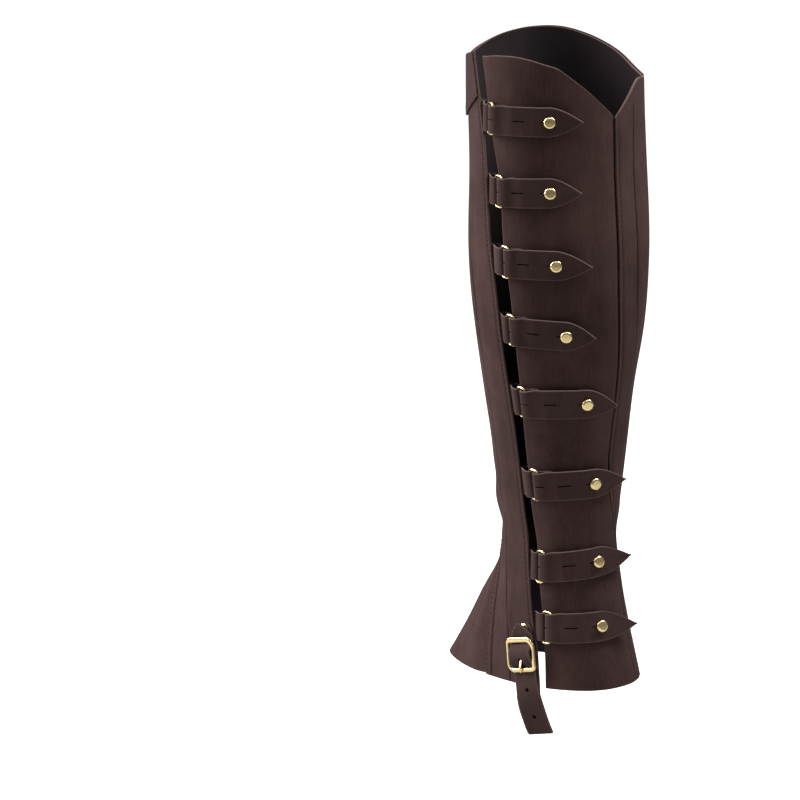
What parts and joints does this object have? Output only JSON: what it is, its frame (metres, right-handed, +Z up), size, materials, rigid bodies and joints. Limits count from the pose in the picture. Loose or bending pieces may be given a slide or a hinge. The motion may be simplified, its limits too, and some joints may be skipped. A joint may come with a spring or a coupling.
{
  "type": "half chap",
  "caption": "Tall leather leg sleeve worn over a boot, closed down the outer side by pointed straps on brass studs, with a flare over the foot and a buckled strap under it.",
  "frame": {"origin": "on the leg's axis at the widest of the calf, 300 mm above the hem", "axes": "+Z up the leg, -Y to the front (toe), +X to the outer side, where the straps are"},
  "size_m": [0.1362, 0.1817, 0.4892],
  "materials": {
    "nubuck_leather": "napped, matt",
    "band_leather": "smooth, low sheen",
    "strap_leather": "fine napped",
    "brass": "polished"
  },
  "bodies": {
    "root": {"main_panel": "nubuck_leather", "top_band": "band_leather", "button_panel": "nubuck_leather", "toe_flare": "nubuck_leather", "strap_1": "strap_leather", "strap_tab_1": "strap_leather", "ring_1": "brass", "stud_1": "brass", "strap_2": "strap_leather", "strap_tab_2": "strap_leather", "ring_2": "brass", "stud_2": "brass", "strap_3": "strap_leather", "strap_tab_3": "strap_leather", "ring_3": "brass", "stud_3": "brass", "strap_4": "strap_leather", "strap_tab_4": "strap_leather", "ring_4": "brass", "stud_4": "brass", "strap_5": "strap_leather", "strap_tab_5": "strap_leather", "ring_5": "brass", "stud_5": "brass", "strap_6": "strap_leather", "strap_tab_6": "strap_leather", "ring_6": "brass", "stud_6": "brass", "strap_7": "strap_leather", "strap_tab_7": "strap_leather", "ring_7": "brass", "stud_7": "brass", "strap_8": "strap_leather", "strap_tab_8": "strap_leather", "ring_8": "brass", "stud_8": "brass", "foot_strap": "strap_leather", "buckle_tab": "strap_leather", "buckle_frame": "brass", "buckle_prong": "brass", "tab_rivet": "brass"}
  },
  "joints": []
}
